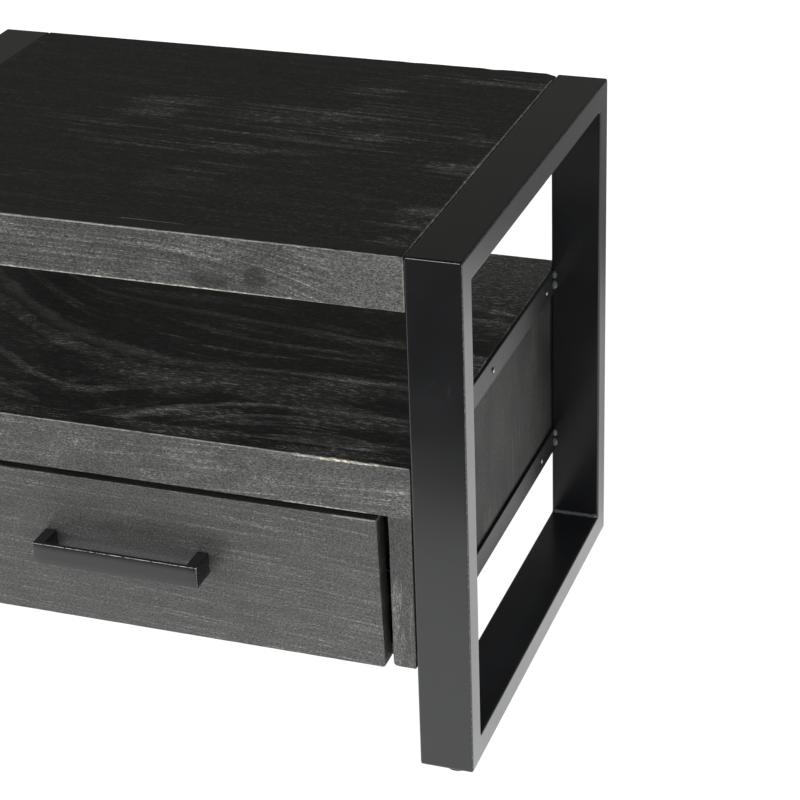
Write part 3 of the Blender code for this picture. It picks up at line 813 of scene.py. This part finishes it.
for node in sorted(frame["nodes"]):
    if node.startswith("glide_"):
        glide(node)
    elif "_screw_" in node and not node.startswith("handle"):
        sign = 1 if node.endswith("right") else -1
        screw(node, (sign, 0, 0), PITH.uniform(0, 90))
    elif node.startswith("handle_screw"):
        screw(node, (0, 1, 0), PITH.uniform(0, 90), "drawer")


# ------ wooden boards

JOINT = 0.00015          # half of the gap that is closed at a glue joint
ENDS = {"x-": 0.0003, "x+": 0.0003}   # the top's boards reach the end frames
GROOVE = 0.0047          # depth of the grooves that hold the drawer's bottom
EDGE_X = POST[0].x
TOP_Z = POST[1].z
SHELF_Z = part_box("shelf_board")[1].z
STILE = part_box("stile_right")
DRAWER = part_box("drawer_front")


def between(low, high, inside, outside=0.0, axis=0):
    """Wear that is stronger along one stretch of an edge."""
    def strength(points):
        place = points[:, axis]
        return np.where((place > low) & (place < high), inside, outside)
    return strength


def ramp(value, start, width):
    """0 up to start and 1 beyond start + width, the other way round if width is negative."""
    return np.clip((value - start) / width, 0, 1)


def shelf_layers(points):
    """Wide layers of a flat-sawn board: three pale lines that bend and close up to the left."""
    x = points[:, 0] - EDGE_X
    y = points[:, 1] - FRONT
    first = 0.092 - 0.084 * np.exp(-((x + 0.36) / 0.11) ** 2) + 0.004 * wobble(points, 9, 1)
    second = 0.155 + 1.5 * np.clip(-x - 0.22, 0, 1) ** 2 + 0.003 * wobble(points, 11, 2)
    third = np.maximum(0.246 - 0.10 * (x + 0.15), second + 0.060) + 0.004 * wobble(points, 9, 3)
    low = 10 + (y - first) / np.maximum(second - first, 0.02)
    high = 11 + (y - second) / np.maximum(third - second, 0.02)
    return np.where(y < second, low, high) + (SHELF_Z - points[:, 2]) * 110


def shelf_back_right(points, start=0.30):
    """How far a point lies into the plain corner of the shelf by the right back post, which is
    painted paler as a painted sheen.
    """
    return ramp(points[:, 0], EDGE_X - 0.12, 0.06) * ramp(points[:, 1], FRONT + start, 0.10)


def shelf_calm(points):
    """Less rubbing and fainter lines towards the back of the shelf, left and right."""
    back_left = ramp(points[:, 1], FRONT + 0.17, 0.05) * ramp(points[:, 0], EDGE_X - 0.12, -0.05)
    back_right = -0.6 * shelf_back_right(points) - 0.5 * shelf_back_right(points, 0.18)
    return back_right - 0.45 * back_left


def stile_joint(points):
    """The lowest part of the shelf rail's ends, where it is glued to the stiles."""
    return (abs(points[:, 0]) > STILE[0].x) & (points[:, 2] < STILE[1].z + 0.003)


def edge_layers(points):
    """Fine layers that run along the top's front edge and dip to the right past its middle."""
    x = points[:, 0] - EDGE_X
    down = TOP_Z - points[:, 2]
    dip = 0.035 * np.clip((x + 0.22) / 0.16, 0, 2.5) ** 1.6
    depth = (points[:, 1] - FRONT) * 0.5
    spacing = 0.0076 + 0.050 * np.clip(x + 0.15, 0, 0.15)
    return 40 + (down - dip + depth - 0.010 + 0.0012 * wobble(points, 16, 4)) / spacing


def patches(places, z):
    """Rubbed patches at (x from the right post, y from the front, reach x, reach y, strength)."""
    return [(EDGE_X + x, FRONT + y, z, rx, ry, 0.01, s) for x, y, rx, ry, s in places]


def drawer_front_shape(points):
    """The right end leans out a little towards the floor, and the lower corners are rounded."""
    low, high = DRAWER
    share = (high.z - points[:, 2]) / (high.z - low.z)
    moved = points.copy()
    moved[:, 0] += np.clip(points[:, 0] / high.x, 0, 1) * 0.0032 * (share - 0.5)
    moved = round_corner(moved, (0, 2), (high.x + 0.0016, low.z), (-1, 1), 0.0030)
    return round_corner(moved, (0, 2), (low.x, low.z), (1, 1), 0.0030)


TOP_RUBS = patches((
    (-0.019, 0.264, 0.030, 0.024, 1.2), (-0.015, 0.198, 0.034, 0.024, 1.2),
    (-0.014, 0.081, 0.037, 0.025, 1.2), (-0.010, 0.030, 0.032, 0.029, 1.2),
    (-0.109, 0.253, 0.065, 0.018, 0.6), (-0.164, 0.378, 0.043, 0.021, 1.2),
    (-0.343, 0.301, 0.050, 0.016, 0.9), (-0.354, 0.271, 0.050, 0.020, 0.8),
    (-0.229, 0.191, 0.034, 0.013, 1.2), (-0.163, 0.200, 0.050, 0.023, 0.7),
    (-0.148, 0.312, 0.043, 0.028, 0.7), (-0.225, 0.141, 0.043, 0.023, 0.8),
    (-0.214, 0.284, 0.085, 0.025, 0.5), (-0.050, 0.420, 0.085, 0.016, 1.0),
    (-0.300, 0.240, 0.120, 0.075, 0.6), (-0.140, 0.270, 0.110, 0.075, 0.5),
), TOP_Z)
SHELF_RUBS = patches((
    (-0.060, 0.012, 0.060, 0.009, 0.9), (-0.210, 0.014, 0.090, 0.009, 0.9),
    (-0.150, 0.105, 0.080, 0.030, 0.9),
    (-0.111, 0.130, 0.040, 0.016, 1.0), (-0.090, 0.075, 0.060, 0.022, 1.0),
    (-0.202, 0.048, 0.040, 0.014, 1.0), (-0.270, 0.115, 0.090, 0.028, 0.8),
    (-0.030, 0.200, 0.040, 0.030, 0.9), (-0.020, 0.290, 0.030, 0.040, 1.0),
    (-0.110, 0.205, 0.030, 0.014, 0.6), (-0.060, 0.030, 0.040, 0.010, 0.6),
), SHELF_Z)

board("top_board", "x", WOOD_TOP, ease=0.0008, spacing=(0.008, 0.008, 0.02),
      sharp=("y-", "y+", "x-", "x+"), wave=0.00003, grow={"y-": JOINT, "y+": JOINT, **ENDS},
      wear={"y-z+": between(EDGE_X - 0.262, EDGE_X - 0.202, 0.95), "x-z+": 0.8,
            # Painted highlight: the strong wear along the right end's upper edge draws a pale line
            # there.
            "x+z+": between(FRONT + 0.170, FRONT + 0.270, 1.9, 1.5, 1)},
      base_wear=0.1, rubs=TOP_RUBS, layer_step=0.011, base_rub=-0.66,
      base_tone=lambda p: -0.25 * ramp(p[:, 0], EDGE_X - 0.05, -0.15))
board("top_front_edge", "x", WOOD_EDGE, spacing=(0.002, 0.006, 0.002),
      sharp=("y+",), grow={"y+": JOINT, **ENDS}, layers=edge_layers,
      base_rub=lambda p: np.clip((EDGE_X - 0.12 - p[:, 0]) / 0.10, -0.68, 0.1),
      base_tone=lambda p: 1.03 * ramp(p[:, 0], EDGE_X - 0.12, 0.10) - 0.14,
      # Painted shade: the upper face and the underside are darkened; the glued back face is
      # darkened as a dark joint.
      face_tones={"z+": -0.70, "y+": -0.7, "z-": -0.5},
      wear={"y-z+": lambda p: np.clip(1.05 - (p[:, 0] - EDGE_X + 0.16) * 2.2, 0.80, 1.25),
            "y-z-": between(-1, EDGE_X - 0.10, 1.45, 0.8), "x+y-": 0.85, "x-y-": 0.6, "x+z+": 0.9},
      tones=((EDGE_X - 0.1315, FRONT, TOP_Z - 0.0335, 0.0105, 0.02, 0.0090, -0.55),
             (EDGE_X - 0.172, FRONT, TOP_Z - 0.0400, 0.020, 0.02, 0.0080, -0.40)),
      nicks=((EDGE_X - 0.058, FRONT, TOP_Z, 0.006, 0.0006),
             (EDGE_X - 0.0005, FRONT, TOP_Z, 0.006, 0.0010)))
board("top_back_edge", "x", WOOD, spacing=(0.004, 0.008, 0.008),
      sharp=("y-",), grow={"y-": JOINT, **ENDS}, wear={"y+z+": 0.5},
      # Painted shade: the upper face is darkened; the glued front face is darkened as a dark joint.
      face_tones={"z+": -0.70, "y-": -0.7},
      nicks=((EDGE_X - 0.001, BACK, TOP_Z, 0.009, 0.0030),
             (EDGE_X - 0.065, BACK, TOP_Z, 0.012, 0.0006),
             (EDGE_X - 0.150, BACK, TOP_Z, 0.012, 0.0003)))
board("shelf_board", "x", WOOD_SHELF, ease=0.0008,
      spacing=(0.008, 0.005, 0.02), sharp=("y-",), grow={"y-": JOINT}, wave=0.00003,
      # Painted sheen: the shelf's back right corner is made far paler.
      base_wear=0.15, rubs=SHELF_RUBS, base_tone=lambda p: 11.0 * shelf_back_right(p),
      base_rub=shelf_calm, layers=shelf_layers, wear={"x+z+": 0.5, "x-z+": 0.5},
      face_tones={"y+": -0.3})
rail = board(
    "shelf_front_rail", "x", WOOD, spacing=(0.003, 0.006, 0.006),
    sharp=("y+",), grow={"y+": JOINT}, crisp=stile_joint, base_rub=0.05, rubs=SHELF_RUBS,
    base_tone=lambda p: 0.30 - 2.0 * np.clip(EDGE_X - 0.13 - p[:, 0], 0, 0.12),
    face_tones={"z+": 0.0},
    wear={"y-z+": between(EDGE_X - 0.108, EDGE_X - 0.030, 2.0, 0.9), "x+y-": 0.7, "x-y-": 0.5,
          "y-z-": between(EDGE_X - 0.121, EDGE_X - 0.043, 1.4, 0.5)})
# Painted shade: the rail's upward faces take the top's darker wood.
rail.data.materials.append(WOOD_TOP)
for face in rail.data.polygons:
    face.material_index = int(face.normal.z > 0.7)
for side, sign in SIDES:
    inner, outer = ("x-", "x+") if sign > 0 else ("x+", "x-")
    corner = (sign * STILE[0].x, STILE[0].z)

    def stile_shape(points, corner=corner, sign=sign):
        return round_corner(points, (0, 2), corner, (sign, 1), 0.0042)

    board(f"stile_{side}", "z", WOOD, spacing=(0.004, 0.006, 0.004),
          sharp=("z+",), grow={"z+": JOINT}, shape=stile_shape, base_tone=-0.12,
          wear={"y-z-": 0.3, outer + "y-": 0.45, inner + "y-": 0.25})
    board(f"side_panel_{side}", "z", WOOD_PANEL, spacing=(0.01,) * 3,
          base_rub=-0.2, base_tone=lambda p: 0.15 + 0.8 * wobble(p, 18, 2))
    board(f"top_batten_{side}", "y", WOOD, spacing=(0.01, 0.02, 0.01))
for node in ("bottom_panel", "back_panel"):
    board(node, "x", WOOD, spacing=(0.02,) * 3)
board("drawer_front", "x", WOOD, "drawer", spacing=(0.003, 0.006, 0.003),
      shape=drawer_front_shape, base_rub=-0.45,
      base_tone=lambda p: 0.12 * np.clip((p[:, 0] - EDGE_X + 0.15) / 0.08, -1, 1),
      wear={"y-z+": between(EDGE_X - 0.07, EDGE_X, 0.95, 0.6), "x+y-": 0.5, "x-y-": 0.4,
            "y-z-": 0.3, "x+z+": 0.9},
      # The first patch darkens the wood just above the handle: partly darker wood, partly a painted
      # shadow of the handle.
      tones=((EDGE_X - 0.235, FRONT, 0.200, 0.070, 0.03, 0.020, -0.22),
             # Painted shade: this patch darkens the front's right end face, in the gap beside the
             # stile.
             (DRAWER[1].x + 0.002, FRONT + 0.014, 0.177, 0.0035, 0.02, 0.10, -0.5)))
for node, grain in (("drawer_side_left", "y"), ("drawer_side_right", "y"), ("drawer_back", "x")):
    board(node, grain, WOOD_BOX, "drawer", "drawer_box_wood",
          spacing=(0.01,) * 3, base_wear=0.3)
board("drawer_bottom", "x", WOOD_BOX, "drawer", "drawer_box_wood",
      ease=0.0004, spacing=(0.02,) * 3, layer_step=0.009,
      grow={"x-": -GROOVE, "x+": -GROOVE, "y-": -GROOVE})


# ------ handle and slides

def handle():
    """A flat bar on two thick legs, black lacquer worn through along its upper front edge."""
    low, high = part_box("drawer_handle")
    leg, bar = 0.011, 0.004
    along = [low.x, *np.linspace(low.x + leg, high.x - leg, 60), high.x]
    deep = [low.y, low.y + bar, low.y + bar + 0.012, high.y]
    tall = np.linspace(low.z, high.z, 4)
    solid = np.zeros((len(along) - 1, 3, 3), bool)
    solid[:, 0, :] = True
    solid[0, :, :] = solid[-1, :, :] = True
    points, faces, bends = eased_blocks((along, deep, tall), solid, 0.0006)
    in_front = points[:, 1] < low.y + 0.001
    on_edge = in_front & (points[:, 2] > high.z - 0.001)
    at_end = in_front & (abs(points[:, 0]) > high.x - 0.001)
    wear = np.where(on_edge, 0.60, np.where(at_end, 0.40, 0.12))
    bends = np.where(on_edge | at_end, bends, 0.6 * bends)
    piece = add_piece("drawer_handle_bar", points, faces, HANDLE, "drawer", "handle_steel",
                      ["drawer_handle"], steel_attributes(len(points), bends, wear))
    piece.data.set_sharp_from_angle(angle=math.radians(50))


SHEET = 0.0011           # thickness of a slide member, and radius of its bends
LIP = 0.0016             # what its edges turn back


def slide_member(node, body, opens_outwards):
    """A rolled channel in the box of its CAD node, with curved races along both edges."""
    low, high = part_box(node)
    inward = 1 if opens_outwards == (low.x > 0) else -1
    plate = (low.x if inward > 0 else high.x) + inward * SHEET / 2
    rim = plate + inward * (high.x - low.x - SHEET / 2)
    turned = plate + (rim - plate) * 0.98
    bottom, top = low.z + SHEET / 2, high.z - SHEET / 2
    outline = bent([(turned, bottom + LIP), (rim, bottom), (plate, bottom),
                    (plate, top), (rim, top), (turned, top - LIP)], SHEET)
    verts, faces = strip(outline, SHEET, low.y, high.y, 6)
    piece = add_piece(node + "_channel", verts, faces, SLIDE, body, "slide_steel", [node])
    piece.data.set_sharp_from_angle(angle=math.radians(40))


def ball_row(name, body):
    """Bearing balls that stand in the races of a middle slide member, its body's only node."""
    low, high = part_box(body)
    x = (low.x + high.x) / 2
    work = bmesh.new()
    for z in (high.z + 0.0014, low.z - 0.0014):
        for number in range(12):
            y = low.y + 0.020 + 0.0085 * number
            place = Matrix.Translation((x, y, z))
            bmesh.ops.create_icosphere(work, subdivisions=2, radius=0.00125, matrix=place)
    add_piece(name, *from_bmesh(work), BALL, body, "slide_steel", None)


handle()
for side, sign in SIDES:
    middle = f"slide_middle_{side}"
    slide_member(f"slide_outer_{side}", "table", False)
    slide_member(middle, middle, False)
    slide_member(f"slide_inner_{side}", "drawer", True)
    ball_row(f"slide_balls_{side}", middle)


# ------ floor, light and camera

CENTRE_Y = (FRONT + BACK) / 2


def make_floor():
    """A pale floor, evenly white to the camera, that glows as a light source for everything else:
    brightest around the table, darker far in front, with painted shade under the table and a
    painted shadow of the table behind it.
    """
    size = 30.0
    corners = [(-size, -size, 0), (size, -size, 0), (size, size, 0), (-size, size, 0)]
    mesh = new_mesh("floor", corners, [(0, 1, 2, 3)])
    new_object("floor", mesh)
    s = Shader(bpy.data.materials.new("floor_pale"))
    x, y = s.xyz(s.object_place())[:2]
    glow = s.smooth(y, FRONT - 0.58, FRONT - 0.36, 0.02, 1.65)
    beside = s.smooth(y, FRONT - 0.02, FRONT + 0.10, 1.0, 0.86)
    behind = s.smooth(y, FRONT + 0.85, FRONT + 1.25, 1.0, 0.30)
    glow = s.mul(glow, s.mul(beside, behind))
    # Painted shadow of the table, cast back and to the right from the key light, and painted shade
    # under the table, both in the floor's glow.
    slant = s.math("ABSOLUTE", s.madd(s.math("SUBTRACT", y, BACK), -0.534, x))
    shadow = s.mul(s.smooth(slant, 0.27, 0.37, 1.0, 0.0), s.smooth(y, BACK - 0.03, BACK + 0.05))
    from_middle = s.math("ABSOLUTE", s.math("SUBTRACT", y, CENTRE_Y))
    under = s.mul(s.smooth(s.math("ABSOLUTE", x), 0.22, 0.34, 1.0, 0.0),
                  s.smooth(from_middle, 0.14, 0.26, 1.0, 0.0))
    glow = s.mul(glow, s.madd(shadow, -0.50, 1.0))
    glow = s.mul(glow, s.madd(under, -0.85, 1.0))
    seen = s.node("LightPath").outputs["Is Camera Ray"]
    strength = s.math("ADD", seen, s.mul(s.math("SUBTRACT", 1.0, seen), glow))
    emission = s.node("Emission", {"Color": (0.99, 0.995, 1.0, 1), "Strength": strength}).outputs[0]
    diffuse = s.node("BsdfDiffuse", {"Color": (0.12, 0.12, 0.12, 1)}).outputs[0]
    s.feed(s.out.inputs[0], s.node("AddShader", {0: emission, 1: diffuse}).outputs[0])
    mesh.materials.append(s.owner)


def make_world():
    """Pale to the eye, dim as a source, so that the soft boxes do the lighting."""
    s = Shader(bpy.data.worlds.new("studio"), "World")
    height = s.xyz(s.node("TexCoord").outputs["Generated"])[2]
    dimming = s.node("MapRange", {0: height, 1: 0.35, 2: 0.85, 3: 0.17, 4: 0.05}).outputs[0]
    unseen = s.node("Background", {0: (1.0, 1.0, 0.96, 1), 1: dimming}).outputs[0]
    seen = s.node("Background", {0: (1, 1, 1, 1), 1: 1.0}).outputs[0]
    camera_ray = s.node("LightPath").outputs["Is Camera Ray"]
    mixed = s.node("MixShader", {0: camera_ray, 1: unseen, 2: seen}).outputs[0]
    s.feed(s.out.inputs[0], mixed)
    bpy.context.scene.world = s.owner


def soft_box(name, azimuth, distance, height, size, watts, glossy=False):
    """An upright soft box that faces the table, azimuth 0 being straight in front."""
    data = bpy.data.lights.new(name, "AREA")
    data.shape = "RECTANGLE"
    data.size, data.size_y = size
    data.energy = watts
    lamp = new_object(name, data)
    turn = math.radians(azimuth)
    lamp.location = (distance * math.sin(turn), CENTRE_Y - distance * math.cos(turn), height)
    aim = Vector((0, CENTRE_Y, min(height, 0.30)))
    lamp.rotation_euler = (aim - lamp.location).to_track_quat("-Z", "Y").to_euler()
    lamp.visible_camera = False
    lamp.visible_glossy = glossy
    return lamp


make_floor()
make_world()
soft_box("key_front_left", -28, 1.9, 0.32, (1.3, 0.62), 24)
soft_box("fill_front_right", 30, 1.9, 0.32, (1.3, 0.62), 17)
soft_box("side_right", 100, 2.0, 0.35, (1.4, 0.7), 3)
soft_box("side_left", -100, 2.0, 0.35, (1.4, 0.7), 16)
soft_box("back", 180, 2.0, 0.35, (2.0, 0.7), 22)
soft_box("overhead", 0, 0.2, 2.2, (2.2, 2.0), 6)
gleam = soft_box("high_front", -13, 1.5, 1.3, (1.5, 0.40), 30, glossy=True)
gleam.visible_diffuse = False

# The main view: the optical axis meets the front plane just inside the right post.
TURN, RISE, ROLL = (math.radians(degrees) for degrees in (20.137, 26.987, 2.066))
DISTANCE = 1.96086
aim = Vector((POST[0].x - 0.00707, FRONT, POST[1].z - 0.13065))
back = Vector((math.sin(TURN) * math.cos(RISE), -math.cos(TURN) * math.cos(RISE), math.sin(RISE)))
lens = bpy.data.cameras.new("camera")
lens.sensor_width = 36
lens.lens = 105.66
camera = new_object("camera", lens)
look = (-back).to_track_quat("-Z", "Y").to_matrix().to_4x4()
place = Matrix.Translation(aim + back * DISTANCE)
camera.matrix_world = place @ look @ Matrix.Rotation(-ROLL, 4, "Z")
bpy.context.scene.camera = camera
bpy.context.scene.view_settings.view_transform = "Standard"
